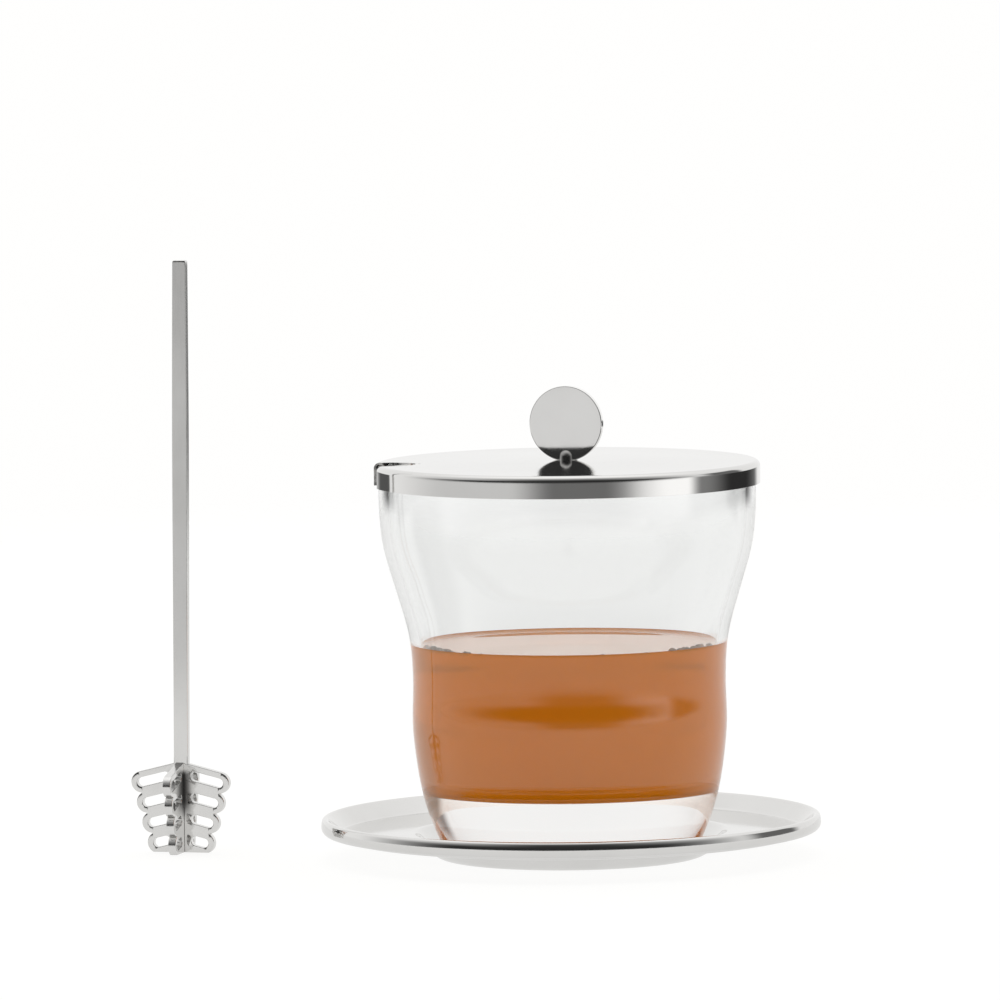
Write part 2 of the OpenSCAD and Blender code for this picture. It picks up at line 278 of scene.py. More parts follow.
def jar_floor(depth):
    """The floor's round corner and its level part, sunk into the glass by a depth."""
    level = [[x, base_t - depth] for x in (floor_x - 4, 20, 10, 0)]
    return np.concatenate([arc((floor_x, low_z), floor_r + depth, 0, -90, 20), level])


lip_r, heel_r, floor_r = wall_t * 0.35, 1.0, 4.0
mouth_r = jar_radius(jar_h)
low_z, lip_z = base_t + floor_r, jar_h - lip_r
floor_x = jar_radius(low_z) - wall_t - floor_r
# The underside is hollow by less than a millimetre, so that the jar stands on a ring
hollow = [[0, 0.7], [8, 0.7], [16, 0.68], [22, 0.6], [25, 0.4], [26.9, 0.12], [27.8, 0]]
outside = np.concatenate([
    hollow,
    arc((jar_radius(heel_r) - heel_r, heel_r), heel_r, -90, -12, 8),
    wall_curve(heel_r + 0.3, lip_z - 0.2, 0, 110),
    arc((mouth_r - lip_r, lip_z), lip_r, 5, 90, 8),
    arc((mouth_r - wall_t + lip_r, lip_z), lip_r, 95, 175, 8)])
inside = np.concatenate([wall_curve(lip_z - 0.2, low_z + 0.6, wall_t, 96), jar_floor(0)])
jar = make_piece("jar_body", *turned(np.concatenate([outside, inside]) + [0, jar_z]),
                 "jar", "clear_glass", ["glass_jar"], sharp=60)

# %% [markdown]
# ## The honey
#
# Honey wets glass. If a thin gap of air is left between the two, light is mirrored inside the
# glass wall and the honey seems to float in a silver sleeve. The usual cure is to let the
# liquid reach a tenth of a millimetre into the wall: the ray then meets the honey before it
# leaves the glass, and it bends as it should. Honey also climbs the wall a little, so its top
# ends in a small rising curve, the meniscus.

# %% Pour the honey
honey_level, soak, climb_h, climb_w, curved_w = 55.3, 0.12, 0.9, 1.5, 8
edge_r = jar_radius(honey_level) - wall_t + soak
top_r = np.concatenate([np.linspace(0, edge_r - curved_w, 12)[:-1],
                        np.linspace(edge_r - curved_w, edge_r, 40)])
top_z = honey_level - 0.15 + climb_h * np.exp((top_r - edge_r) / climb_w)
honey_profile = np.concatenate([
    np.stack([top_r, top_z], -1),
    wall_curve(top_z[-1] - 0.1, low_z + 0.6, wall_t - soak, 60), jar_floor(soak)])
honey = make_piece("honey_body", *turned(honey_profile + [0, jar_z]),
                   "jar", "honey", ["honey_fill"], sharp=70)

# %% [markdown]
# ## The lid
#
# The lid is a disc of thin sheet, domed by less than a millimetre, with its edge bent down
# into a short skirt. One side has a notch with a round end, cut through top and skirt. A
# Boolean could cut it, but would leave long thin triangles that spoil a mirror. Instead the
# whole lid is one grid of rows along its profile and columns round the axis, and each row
# simply starts and ends at the notch's edge. For a row at radius r, that edge is at an angle
# found from the notch's round end where r is small, and from its straight sides further out.

# %% Stamp the lid
lid_t, skirt_inner_r, skirt_h, dome_h, bend_r = 0.8, 49.95, 5.9, 0.4, 1.5
lid_r = skirt_inner_r + lid_t
lid_edge_z = jar_z + jar_h + lid_t
lid_top_z = lid_edge_z + dome_h
seat_r, dome_r, bore_r = 4.5, 45.55, 1.3
notch_half, notch_end_r, notch_turn = 6.0, 45.75, 184
notch_tip_r = notch_end_r - notch_half
lid_columns, broken_edge = 225, 0.14


def lid_path():
    """Knob seat, a dome that falls as half a cosine wave, flat edge, bend and skirt."""
    q = np.linspace(0, np.pi / 2, 20)
    round_end = np.hypot(notch_end_r - notch_half * np.cos(q), notch_half * np.sin(q))
    r = np.unique(np.round(np.concatenate([
        np.linspace(bore_r, seat_r, 4), np.linspace(seat_r, notch_tip_r, 30), round_end,
        np.linspace(round_end[-1], lid_r - bend_r - 0.4, 4)]), 5))
    fall = np.clip((r - seat_r) / (dome_r - seat_r), 0, 1)
    mid_z = lid_edge_z - lid_t / 2
    top = np.stack([r, mid_z + dome_h * (1 + np.cos(np.pi * fall)) / 2], -1)
    bend = arc((lid_r - bend_r, mid_z - bend_r + lid_t / 2), bend_r - lid_t / 2, 90, 0, 14)
    z = np.linspace(bend[-1, 1], lid_edge_z - skirt_h, 8)[1:]
    return np.concatenate([top, bend, np.stack([lid_r - lid_t / 2 + 0 * z, z], -1)])


def notch_angle(r):
    """Half the angle that the notch takes from a circle of radius r: none inside its tip, by
    the cosine rule on the round end, and by the sine on the straight sides."""
    rule = (r**2 + notch_end_r**2 - notch_half**2) / (2 * notch_end_r * r)
    on_end = np.arccos(np.clip(rule, -1, 1))
    on_sides = np.arcsin(np.clip(notch_half / r, -1, 1))
    beyond = r > np.hypot(notch_end_r, notch_half)
    return np.where(r <= notch_tip_r, 0, np.where(beyond, on_sides, on_end))


def notched(profile):
    """Grid of points for one side of the sheet, from one edge of the notch to the other."""
    r, z = profile[:, 0][:, None], profile[:, 1][:, None]
    half = notch_angle(r)
    a = np.radians(notch_turn) + half + np.linspace(0, 1, lid_columns) * 2 * (np.pi - half)
    return np.stack([r * np.cos(a), r * np.sin(a), z + 0 * a], -1)


outer, inner = sheet(lid_path(), lid_t)
inner[0, 0] = outer[0, 0] = bore_r
rows = len(outer)
points = np.concatenate([notched(outer), notched(inner[::-1])]).reshape(-1, 3)
quads = grid_quads(2 * rows, lid_columns, close_rows=True)
# The notch's own walls join the outer side's row to the inner side's at both ends of each row
step = np.arange(rows - 1)
wall_rows = np.stack([step, step + 1, 2 * rows - 2 - step, 2 * rows - 1 - step], -1)
walls = wall_rows[outer[1:, 0] > notch_tip_r] * lid_columns
quads = np.concatenate([quads, walls[:, ::-1], walls + lid_columns - 1])
# The seam inside the notch's tip is two copies of each point: the second becomes the first
_, first_of, copy_of = np.unique(np.round(points, 4), axis=0, return_index=True,
                                 return_inverse=True)
used, quads = np.unique(first_of[copy_of.ravel()][quads], return_inverse=True)
lid = make_piece("lid_body", points[used], quads.reshape(-1, 4), [], "lid", "lid_steel",
                 ["lid_cover"], sharp=40)
bevel = lid.modifiers.new("broken edges", "BEVEL")
bevel.width, bevel.segments = broken_edge * mm, 2
bevel.limit_method, bevel.angle_limit = "ANGLE", np.radians(50)

# %% [markdown]
# ## The knob
#
# The knob is an upright disc held in the slot of a small round-headed stud, which passes
# through the lid to a washer and a nut. A disc of this kind has a tumbled edge: without that
# small rounding it would show no bright line round its face. Its foot is ground flat where
# it stands on the lid. Each ring of the disc keeps to the circle but never goes below that
# flat, so one formula gives both.

# %% Cut the knob's disc
knob_r, knob_t, knob_turn, knob_flat = 9.9, 1.8, np.radians(-17), 5.0
knob_z = lid_top_z + np.sqrt(knob_r**2 - knob_flat**2 / 4)


def turn_about_z(points, angle):
    """Rotates points about the vertical axis."""
    c, s = np.cos(angle), np.sin(angle)
    return points @ np.array([[c, s, 0], [-s, c, 0], [0, 0, 1]])


def knob_disc(segments=160, edge=0.22):
    """Outline R(a) = min(circle, flat); rings run from the middle of one face outwards, round
    both edges by quarter circles, and back to the middle of the other face."""
    a = np.linspace(0, 2 * np.pi, segments, endpoint=False) + np.pi / 2
    down = np.maximum(-np.sin(a), 1e-6)
    outline = np.minimum(knob_r, (knob_z - lid_top_z) / down)
    q = np.linspace(0, np.pi / 2, 6)
    shrink = np.concatenate([[0.6 * knob_r, 0.2 * knob_r], edge * (1 - np.sin(q))])
    depth = np.concatenate([[knob_t / 2, knob_t / 2], knob_t / 2 - edge * (1 - np.cos(q))])
    shrink, depth = np.append(shrink, shrink[::-1]), np.append(depth, -depth[::-1])
    r = outline[None, :] * (1 - shrink[:, None] / knob_r)
    rings = np.stack([r * np.cos(a), depth[:, None] + 0 * r, knob_z + r * np.sin(a)], -1)
    middles = [[0, knob_t / 2, knob_z], [0, -knob_t / 2, knob_z]]
    points = np.concatenate([rings.reshape(-1, 3), middles])
    n = len(shrink)
    return (turn_about_z(points, knob_turn), grid_quads(n, segments, close_columns=True),
            pole_fans(n, segments))


def flatten_shading(piece):
    """Weighs each normal by the size of its faces, so that a broken edge doesn't make the flat
    face beside it look like a cushion."""
    even = piece.modifiers.new("flat faces", "WEIGHTED_NORMAL")
    even.keep_sharp, even.weight = True, 100


disc = make_piece("disc_body", *knob_disc(), "lid", "lid_steel", ["knob_disc"], sharp=50)
flatten_shading(disc)

# %% Turn the stud, its thread and the washer
stud_r, stud_h, shank_r, shank_l = 1.95, 2.8, 1.25, 3.9
straight_share = 0.35


def stud_jaw(side, levels=22, around=40):
    """One half of the slotted head: at each height, a D whose bow is the round head and whose
    straight side lies against the disc. It shrinks to a point where head and slot meet."""
    base = stud_h - stud_r
    top = base + np.sqrt(stud_r**2 - knob_t**2 / 4)
    t = np.linspace(0, 1, levels)
    round_part = np.sin((t - straight_share) / (1 - straight_share) * np.pi / 2)
    z = np.where(t < straight_share, base * t / straight_share, base + (top - base) * round_part)
    r = np.sqrt(np.maximum(stud_r**2 - np.maximum(z - base, 0) ** 2, 0))
    r = np.maximum(r, knob_t / 2 + 1e-4)[:, None]
    a = np.linspace(-1, 1, around) * np.arccos(knob_t / 2 / r)
    bow = np.stack([r * np.sin(a), -r * np.cos(a), (lid_top_z + z)[:, None] + 0 * a], -1)
    caps = [[0, -knob_t / 2, lid_top_z], [0, -knob_t / 2, lid_top_z + top]]
    points = turn_about_z(np.concatenate([bow.reshape(-1, 3), caps]),
                          knob_turn + (0 if side > 0 else np.pi))
    return points, grid_quads(levels, around, close_columns=True), pole_fans(levels, around)


def threaded_shank(levels=64, around=48, turns_per_mm=2.2, depth=0.09, plain_l=1.2, tip_l=0.25):
    """A rod whose surface waves in and out along a helix, r - depth (1 + cos(2 pi z / pitch
    - a)) / 2 below the plain length, with a bevelled tip."""
    z = np.linspace(lid_top_z, lid_top_z - shank_l, levels)[:, None]
    a = np.linspace(0, 2 * np.pi, around, endpoint=False)[None, :]
    wave = depth * (1 + np.cos(2 * np.pi * z * turns_per_mm - a)) / 2
    fade = np.clip((lid_top_z - plain_l - z) / 0.3, 0, 1)
    r = shank_r - wave * fade - np.clip(tip_l - (z - lid_top_z + shank_l), 0, tip_l)
    rings = np.stack([r * np.cos(a), r * np.sin(a), z + 0 * a], -1).reshape(-1, 3)
    ends = [[0, 0, lid_top_z], [0, 0, lid_top_z - shank_l]]
    return (np.concatenate([rings, ends]), grid_quads(levels, around, close_columns=True),
            pole_fans(levels, around))


def join(*parts):
    """Several meshes as one: each part's face numbers move up by the points before it."""
    points, quads, tris, n = [], [], [], 0
    for p, q, t in parts:
        points.append(p), quads.append(np.asarray(q, int).reshape(-1, 4) + n)
        tris.append(np.asarray(t, int).reshape(-1, 3) + n)
        n += len(p)
    return np.concatenate(points), np.concatenate(quads), np.concatenate(tris)


stud = make_piece("stud_body", *join(stud_jaw(1), stud_jaw(-1), threaded_shank()),
                  "lid", "lid_steel", ["knob_stud"], sharp=45)

# %% [markdown]
# ## Washer and nut
#
# These sit under the lid, where only a hand that lifts it off would see them. They are small
# but real: the washer is stamped, with one rounded face, and the nut is a hexagon whose six
# corners are cut back by a cone, which is what gives a turned nut its curved shoulders. Both
# are closed loops of rings, from the bore outwards and back.

# %% Stamp the washer, mill the nut
washer_r, washer_t, nut_half, nut_h, nut_chamfer = 3.5, 0.5, 2.5, 2.0, 0.18
washer_z = lid_top_z - lid_t - washer_t
round_angles = np.linspace(0, 2 * np.pi, 96, endpoint=False)


def ringed(rings, bottom_z):
    """A ring-shaped body from pairs of radius and height above its lowest place, each a number
    or an array round the axis. The last ring joins the first."""
    r, z = (np.stack([ring[k] + 0 * round_angles for ring in rings]) for k in (0, 1))
    points = np.stack([r * np.cos(round_angles), r * np.sin(round_angles), bottom_z + z], -1)
    quads = grid_quads(len(rings), len(round_angles), close_rows=True, close_columns=True)
    return points.reshape(-1, 3), quads, []


washer_rings = [(bore_r, 0.06), (bore_r + 0.06, 0), (washer_r - 0.18, 0), (washer_r - 0.06, 0.04),
                (washer_r, 0.14), (washer_r, washer_t), (bore_r, washer_t)]
washer = make_piece("washer_body", *ringed(washer_rings, washer_z),
                    "lid", "hardware_steel", ["knob_washer"])


def nut_rings():
    """Bore, chamfered mouth, round face, then the hexagon lowered at its corners by a cone of
    30 degrees, and the same again in reverse on the other face."""
    sixth = np.pi / 3
    hexagon = nut_half / np.cos((round_angles + sixth / 2) % sixth - sixth / 2)
    face = 0.95 * nut_half
    drop = (hexagon - face) * np.tan(np.radians(30))
    half = [(bore_r, nut_chamfer), (bore_r + nut_chamfer, 0), (face, 0), (hexagon, drop)]
    return half + [(r, nut_h - z) for r, z in half[::-1]]


nut = make_piece("nut_body", *ringed(nut_rings(), washer_z - nut_h),
                 "lid", "hardware_steel", ["knob_nut"], sharp=25)

# %% [markdown]
# ## The dipper
#
# The dipper is cut by laser from 2 mm plate: one plate is handle and head, the other is a
# second head, pushed across it at the waist of their slots. After cutting such plates are
# tumbled, which leaves mirror faces, a fine rounding on every edge, and a faint vertical
# grain on the cut sides. The outline is worked out as loops of points: the outer one is a
# chain of arcs, one for each lobe, and every lobe has a slot inside. A small quarter circle
# is then carried round each loop, and the two flat faces are filled between the loops.

# %% Draw the dipper's outlines
head_h, plate_t, lobe_r, slot_half, hub_r = 23.8, 2.1, 2.85, 1.25, 2.9
slope = np.radians(14)
lobe_x = np.linspace(9.2, 13.5, 4) - lobe_r
lobe_z = np.linspace(2.55, 18.6, 4)
lap_z, lap_half = head_h / 2, plate_t / 2 + 0.02
neck_half, handle_lean = 1.9, np.radians(0.65)


def lobe_chain():
    """Right-hand outline of the head, from its foot upwards: each lobe's arc runs from where
    it leaves the last lobe to where it meets the next one."""
    points = [[[lobe_x[0] + np.sqrt(lobe_r**2 - lobe_z[0]**2), 0]]]
    start = -np.arcsin(lobe_z[0] / lobe_r)
    for i in range(4):
        if i < 3:
            gap = np.array([lobe_x[i + 1] - lobe_x[i], lobe_z[i + 1] - lobe_z[i]])
            turn = np.arctan2(gap[1], gap[0])
            half = np.arccos(np.hypot(*gap) / 2 / lobe_r)
            end = turn - half
        else:
            end = np.pi / 2 - slope
        a = np.linspace(start, end, 22)
        bow = lobe_r * np.stack([np.cos(a), np.sin(a)], -1)
        points.append([lobe_x[i], lobe_z[i]] + bow)
        if i < 3:
            start = turn - np.pi + half
    top = points[-1][-1]
    points.append([[hub_r, top[1] + (top[0] - hub_r) * np.tan(slope)]])
    return np.concatenate(points)


def slots(side):
    """The four slots of one side, each a straight slot with two round ends."""
    loops = []
    for x, z in zip(lobe_x, lobe_z):
        near_x = hub_r + slot_half
        near_z = z + (x - near_x) * np.tan(slope)
        far = np.linspace(-np.pi / 2 - slope, np.pi / 2 - slope, 13)
        loop = np.concatenate([
            np.stack([x + slot_half * np.cos(far), z + slot_half * np.sin(far)], -1),
            np.stack([near_x - slot_half * np.cos(far), near_z - slot_half * np.sin(far)], -1)])
        loops.append(loop * [side, 1])
    return loops


half_head = lobe_chain()
neck_z = half_head[-1, 1] + (hub_r - neck_half) * np.tan(slope)
# Half the handle's width at its heights: it swells a little above the middle, as a grip does
handle = np.array([[neck_half, neck_z], [1.905, 26], [1.93, 40], [1.99, 74], [2.035, 96],
                   [2.05, 108], [2.035, 116], [1.96, 132], [1.87, 148], [1.82, 155.3],
                   [1.8, 156.6], [1.7, 157], [1.5, 157.1]])
lower_lap = np.array([[lap_half, lap_z + 0.02], [lap_half, 0]])


def blade_side(side):
    """One side of the blade from its slot to its tip: the handle's points move sideways by
    z tan(lean), and the lowest one stays on the head's sloping top."""
    grip = handle * [side, 1] + np.outer(handle[:, 1], [np.tan(handle_lean), 0])
    grip[0, 1] = half_head[-1, 1] + (hub_r - abs(grip[0, 0])) * np.tan(slope)
    return np.concatenate([lower_lap * [side, 1], half_head * [side, 1], grip])


lap_top = half_head[-1, 1] + (hub_r - lap_half) * np.tan(slope)
cross_right = np.concatenate([[[0.3, 0]], half_head, [[lap_half, lap_top], [lap_half, lap_z]]])


def both_sides(right_side, left_side):
    """Joins the two sides of an outline, and drops each point that lies on the one before it,
    as where two arcs meet."""
    loop = np.concatenate([right_side, left_side[::-1]])
    return loop[np.linalg.norm(np.roll(loop, -1, 0) - loop, axis=1) > 1e-3]


blade_outline = both_sides(blade_side(1), blade_side(-1))
cross_outline = both_sides(cross_right, cross_right * [-1, 1])
print("outlines of %d and %d points" % (len(blade_outline), len(cross_outline)))

# %% Carry the edge profile round every loop
def loop_area(loop):
    """Shoelace sum: positive when the loop runs anticlockwise."""
    x, z = loop.T
    return 0.5 * (x * np.roll(z, -1) - np.roll(x, -1) * z).sum()


def inset_loop(loop, distance):
    """Moves each point to the left of the loop by a distance, along the mean of its two sides'
    normals, stretched so that both sides move by the same amount."""
    run = np.roll(loop, -1, 0) - loop
    run /= np.linalg.norm(run, axis=1, keepdims=True)
    left = np.stack([-run[:, 1], run[:, 0]], -1)
    mean = left + np.roll(left, 1, 0)
    mean /= np.maximum((mean * left).sum(1, keepdims=True), 0.5)
    return loop + mean * distance


def inside_loop(spots, loop):
    """Even-odd rule: a spot is inside when a level line to its right crosses the loop an odd
    number of times."""
    (x0, z0), (x1, z1) = loop.T[:, None, :], np.roll(loop, -1, 0).T[:, None, :]
    x, z = spots[:, :1], spots[:, 1:]
    straddles = (z0 > z) != (z1 > z)
    meets = x0 + (z - z0) * (x1 - x0) / np.where(z1 == z0, 1, z1 - z0)
    return (straddles & (x < meets)).sum(1) % 2 == 1


def fill(loops):
    """Delaunay triangles between an outline and its holes: of all triangles between the
    points, those stay whose middle lies inside the outline and outside every hole."""
    flat, n, edges = np.concatenate(loops), 0, []
    for loop in loops:
        i = np.arange(len(loop))
        edges += np.stack([n + i, n + (i + 1) % len(loop)], -1).tolist()
        n += len(loop)
    made = delaunay_2d_cdt([Vector(v) for v in flat], edges, [], 0, 1e-7)
    source = np.array([ids[0] for ids in made[3]])
    tris = source[np.array(made[2])]
    middle = flat[tris].mean(1)
    keep = inside_loop(middle, loops[0])
    for hole in loops[1:]:
        keep &= ~inside_loop(middle, hole)
    tris = tris[keep]
    one, two = flat[tris[:, 1]] - flat[tris[:, 0]], flat[tris[:, 2]] - flat[tris[:, 0]]
    clockwise = one[:, 0] * two[:, 1] < one[:, 1] * two[:, 0]
    tris[clockwise] = tris[clockwise][:, ::-1]
    return tris


def plate(outline, holes, thickness, edge=0.16, steps=4):
    """A flat plate: for each loop, rings of points that follow a quarter circle from each face
    to the side, and faces filled between the innermost rings of all the loops."""
    loops = [outline if loop_area(outline) > 0 else outline[::-1]]
    loops += [h if loop_area(h) < 0 else h[::-1] for h in holes]
    q = np.linspace(0, np.pi / 2, steps + 1)
    inset = edge * (1 - np.sin(q))
    depth = thickness / 2 - edge * (1 - np.cos(q))
    inset, depth = np.append(inset, inset[::-1]), np.append(depth, -depth[::-1])
    points, quads, cut, front, back, n = [], [], [], [], [], 0
    for loop in loops:
        rings = np.stack([np.insert(inset_loop(loop, i), 1, -d, axis=1)
                          for i, d in zip(inset, depth)])
        points.append(rings.reshape(-1, 3))
        quads.append(grid_quads(len(rings), len(loop), n, close_columns=True)[:, ::-1])
        level = np.arange(len(rings))[:, None] + 0 * np.arange(len(loop))
        cut.append(np.where((level >= steps) & (level <= steps + 1), 1.0, 0.25).ravel())
        front.append(n + np.arange(len(loop)))
        back.append(n + (len(rings) - 1) * len(loop) + np.arange(len(loop)))
        n += rings.shape[0] * rings.shape[1]
    points = np.concatenate(points)
    tris = fill([points[ids][:, [0, 2]] for ids in front])
    order_front, order_back = np.concatenate(front), np.concatenate(back)
    tris = np.concatenate([order_front[tris], order_back[tris][:, ::-1]])
    return points, np.concatenate(quads), tris, np.concatenate(cut)


dipper_left, dipper_back, dipper_turn = -103.1, 21.0, np.radians(-15.4)


def cut_plate(name, outline, holes, turn, replaced):
    """Makes the plate, turns it, stands it in its place and marks its cut sides."""
    points, quads, tris, cut = plate(outline, holes, plate_t)
    points = turn_about_z(points, turn) + [dipper_left, dipper_back, 0]
    piece = make_piece(name, points, quads, tris, "dipper", "dipper_steel", [replaced], sharp=40)
    mark = piece.data.attributes.new("cut_side", "FLOAT", "POINT")
    mark.data.foreach_set("value", cut)
    flatten_shading(piece)
    return piece


all_slots = slots(1) + slots(-1)
blade = cut_plate("blade_body", blade_outline, all_slots, dipper_turn, "dipper_blade")
cross = cut_plate("cross_body", cross_outline, all_slots, dipper_turn + np.pi / 2, "dipper_cross")

# %% [markdown]
# ## Foam at the honey's edge
#
# When honey is poured, air comes with it, and small bubbles gather where the surface meets
# the glass. They are thin half-round shells of different sizes, thicker in number on the
# left. A particle system could scatter them, but a fixed seed and one array of centres give
# the same bubbles at each run, on any machine.

# %% Blow the bubbles
def bubble(radius, rings=7, around=12):
    """A closed half ball: rings at r cos(e), height r sin(e), with a flat bottom."""
    e = np.linspace(0, np.pi / 2, rings, endpoint=False)[:, None]
    a = np.linspace(0, 2 * np.pi, around, endpoint=False)[None, :]
    shell = np.stack([np.cos(e) * np.cos(a), np.cos(e) * np.sin(a), np.sin(e) + 0 * a], -1)
    points = np.concatenate([radius * shell.reshape(-1, 3), [[0, 0, 0], [0, 0, radius]]])
    return points, grid_quads(rings, around, close_columns=True), pole_fans(rings, around)


# Two clusters by their middle angle, spread and number, and some bubbles anywhere in front
clusters, scattered = [(214, 9, 46), (322, 7, 22)], (180, 360, 16)
smallest, largest = 0.3, 1.3
rng = np.random.default_rng(7)
angles = np.concatenate([rng.normal(*c) for c in clusters] + [rng.uniform(*scattered)])
sizes = np.clip(rng.lognormal(-0.5, 0.45, len(angles)), smallest, largest)
inwards = rng.gamma(1.3, 0.7, len(angles)) + sizes
bubbles = []
for angle, size, gap in zip(np.radians(angles), sizes, inwards):
    r = edge_r - soak - gap
    z = jar_z + np.interp(r, top_r, top_z) - 0.05
    points, quads, tris = bubble(size)
    bubbles.append((points + [r * np.cos(angle), r * np.sin(angle), z], quads, tris))
foam = make_piece("honey_foam", *join(*bubbles), "jar", "honey", sharp=50)

# %% [markdown]
# ## Shader groups: what a finish is made of
#
# Polished steel is not a perfect mirror. Buffing leaves fine lines that run round a turned
# piece or along a flat one, and handling leaves a faint haze. Both can be painted on as
# textures, but as a node group with named inputs the same recipe serves every metal piece at
# its own scale. The group gives out only a shade, a roughness and a normal; the shader itself
# stays in the material.

# %% Helpers for node trees
def new_group(name, inputs, outputs):
    """A shader node group with named sockets: inputs are (type, name, default)."""
    group = bpy.data.node_groups.new(name, "ShaderNodeTree")
    for kind, label, value in inputs:
        item = group.interface.new_socket(label, in_out="INPUT", socket_type="NodeSocket" + kind)
        if value is not None:
            item.default_value = value
    for kind, label in outputs:
        group.interface.new_socket(label, in_out="OUTPUT", socket_type="NodeSocket" + kind)
    return group, group.nodes.new("NodeGroupInput"), group.nodes.new("NodeGroupOutput")


def put(tree, socket, value):
    """Sets a socket to a number, or links it to another node's output."""
    if isinstance(value, bpy.types.NodeSocket):
        tree.links.new(value, socket)
    else:
        socket.default_value = value


def math_node(tree, operation, a, b=0.0, c=0.0):
    """One Math node: operation on a, b and c."""
    node = tree.nodes.new("ShaderNodeMath")
    node.operation = operation
    for socket, value in zip(node.inputs, (a, b, c)):
        put(tree, socket, value)
    return node.outputs[0]


def ramp(tree, value, low, high, to_low=0.0, to_high=1.0):
    """Smooth step from to_low at low to to_high at high."""
    node = tree.nodes.new("ShaderNodeMapRange")
    node.interpolation_type = "SMOOTHSTEP"
    for socket, v in zip(node.inputs, (value, low, high, to_low, to_high)):
        put(tree, socket, v)
    return node.outputs[0]


def noise(tree, vector, scale, detail=3.0, rough=0.55):
    """One Noise texture's value, from 0 to 1."""
    node = tree.nodes.new("ShaderNodeTexNoise")
    put(tree, node.inputs["Vector"], vector)
    node.inputs["Scale"].default_value, node.inputs["Detail"].default_value = scale, detail
    node.inputs["Roughness"].default_value = rough
    return node.outputs["Fac"]


def mix_colours(tree, share, one, other):
    """One Mix node: colour one where the share is 0, the other where it is 1."""
    node = tree.nodes.new("ShaderNodeMix")
    node.data_type = "RGBA"
    for i, value in ((0, share), (6, one), (7, other)):
        put(tree, node.inputs[i], value)
    return node.outputs[2]


def own_place(tree):
    """A piece's own coordinates, which move with it at every pose."""
    return tree.nodes.new("ShaderNodeTexCoord").outputs["Object"]


def place_group(tree, group, **values):
    """Puts a group in a tree, with values or links for its named inputs."""
    node = tree.nodes.new("ShaderNodeGroup")
    node.node_tree = group
    for label, value in values.items():
        put(tree, node.inputs[label.replace("_", " ")], value)
    return node

# %% Build the groups
def make_round_the_axis():
    """Turns a place into (radius, height) at the given fineness, plus a slow wander round the
    axis: (f r + cos a, f z, sin a). Equal values lie on rings, as lathe lines do."""
    group, into, out = new_group(
        "round the axis", [("Vector", "Place", None), ("Float", "Fineness", 4000.0),
                           ("Float", "Wander", 0.6)], [("Vector", "Pattern")])
    split = group.nodes.new("ShaderNodeSeparateXYZ")
    group.links.new(into.outputs["Place"], split.inputs[0])
    x, y, z = split.outputs
    r = math_node(group, "SQRT", math_node(group, "ADD", math_node(group, "MULTIPLY", x, x),
                                           math_node(group, "MULTIPLY_ADD", y, y, 1e-10)))
    wander = into.outputs["Wander"]
    wave = [math_node(group, "MULTIPLY", math_node(group, "DIVIDE", part, r), wander)
            for part in (x, y)]
    pattern, fineness = group.nodes.new("ShaderNodeCombineXYZ"), into.outputs["Fineness"]
    put(group, pattern.inputs[0], math_node(group, "MULTIPLY_ADD", r, fineness, wave[0]))
    put(group, pattern.inputs[1], math_node(group, "MULTIPLY", z, fineness))
    put(group, pattern.inputs[2], wave[1])
    group.links.new(pattern.outputs[0], out.inputs["Pattern"])
    return group


def make_buffed():
    """Buffed metal: fine lines from the Pattern vector, clouds of haze from the Place vector.
    Roughness = Base + Spread (lines + clouds), and the lines also tilt the normal a little."""
    group, into, out = new_group(
        "buffed", [("Vector", "Pattern", None), ("Vector", "Place", None),
                   ("Float", "Base roughness", 0.06), ("Float", "Spread", 0.06),
                   ("Float", "Line depth", 0.05), ("Float", "Haze", 0.04),
                   ("Color", "Metal", (0.75, 0.75, 0.74, 1)), ("Float", "Worn", 0.0)],
        [("Color", "Shade"), ("Float", "Roughness"), ("Vector", "Normal")])
    lines = noise(group, into.outputs["Pattern"], 1.0, 4.0, 0.7)
    clouds = noise(group, into.outputs["Place"], 55.0, 3.0, 0.5)
    specks = noise(group, into.outputs["Place"], 900.0, 2.0, 0.5)
    mixed = math_node(group, "MULTIPLY_ADD", math_node(group, "SUBTRACT", lines, 0.5), 0.9,
                      math_node(group, "SUBTRACT", clouds, 0.5))
    rough = math_node(group, "MULTIPLY_ADD", mixed, into.outputs["Spread"],
                      into.outputs["Base roughness"])
    rough = math_node(group, "MULTIPLY_ADD", into.outputs["Worn"], 0.12, rough)
    put(group, out.inputs["Roughness"], math_node(group, "MAXIMUM", rough, 0.02))
    shade = math_node(group, "MULTIPLY", ramp(group, clouds, 0.35, 0.75), into.outputs["Haze"])
    shade = math_node(group, "MULTIPLY_ADD", ramp(group, specks, 0.66, 0.74), 0.02, shade)
    dull = (0.5, 0.49, 0.47, 1)
    put(group, out.inputs["Shade"], mix_colours(group, shade, into.outputs["Metal"], dull))
    bump = group.nodes.new("ShaderNodeBump")
    bump.inputs["Distance"].default_value = 0.00002
    put(group, bump.inputs["Strength"], into.outputs["Line depth"])
    put(group, bump.inputs["Height"], lines)
    group.links.new(bump.outputs[0], out.inputs["Normal"])
    return group


